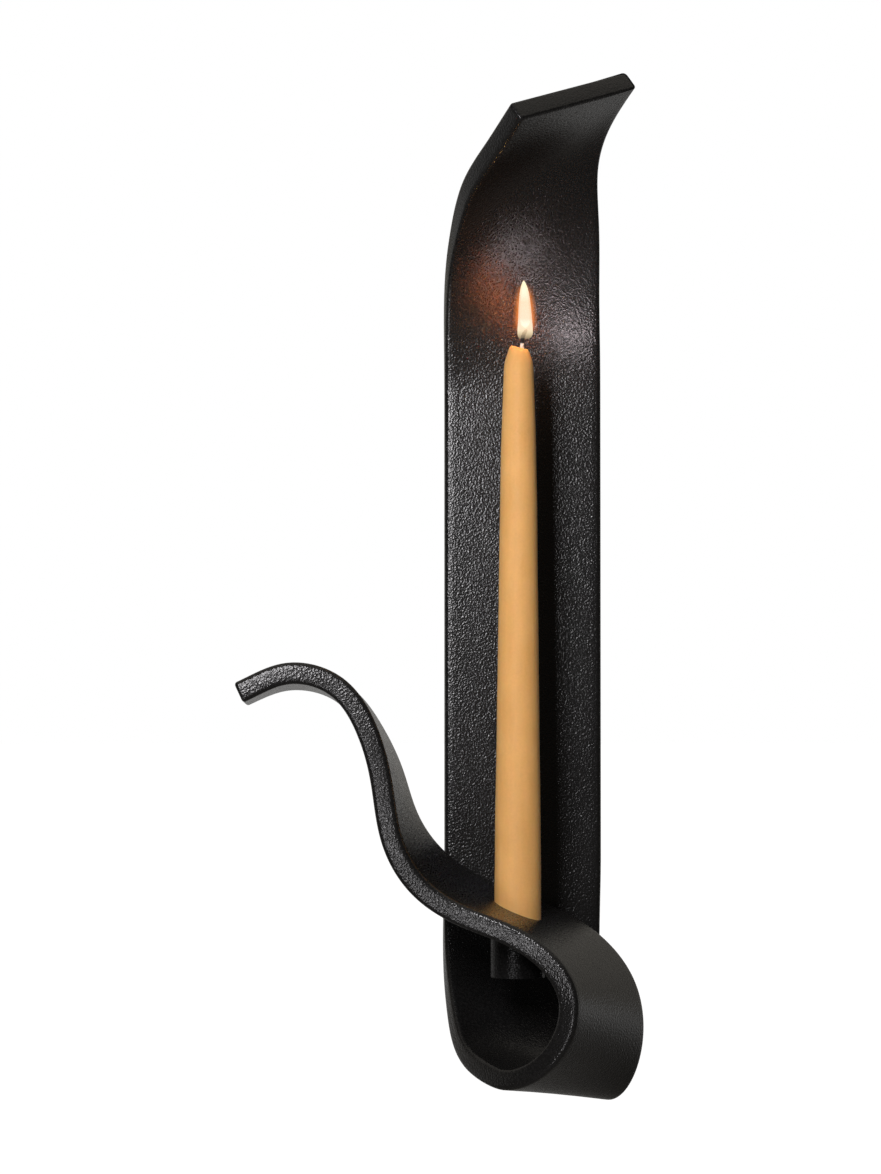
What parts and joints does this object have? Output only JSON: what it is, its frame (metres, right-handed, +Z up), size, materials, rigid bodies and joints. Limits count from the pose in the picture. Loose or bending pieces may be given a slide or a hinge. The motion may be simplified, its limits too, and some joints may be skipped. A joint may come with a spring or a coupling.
{
  "type": "candle wall sconce",
  "caption": "Cast strip wall sconce curled into a canopy above and a loop with a finger hook below, holding a taper candle in a cup.",
  "frame": {"origin": "on the wall plane, midway between the seats of the two keyholes", "axes": "+Z up, +Y into the wall, +X to the right of a viewer who faces the wall"},
  "size_m": [0.1939, 0.106, 0.488],
  "materials": {
    "black_coat": "fine sand-textured black powder coat over cast aluminium",
    "beeswax": "honey-coloured wax with a faint bloom",
    "wick_cotton": "braided cotton, charred at its end",
    "plated_steel": "zinc-plated steel",
    "flame": "glowing flame"
  },
  "bodies": {
    "sconce": {"ribbon_body": "black_coat", "candle_cup": "black_coat", "upper_hanger": "plated_steel", "upper_hanger_screws": "plated_steel", "lower_hanger": "plated_steel", "lower_hanger_screws": "plated_steel"},
    "candle": {"candle": "beeswax", "wick": "wick_cotton"}
  },
  "joints": [
    {"name": "candle_lift", "type": "slide", "parent": "sconce", "child": "candle", "axis": [0, 0, 1], "range_m": [0, 0.05]}
  ]
}
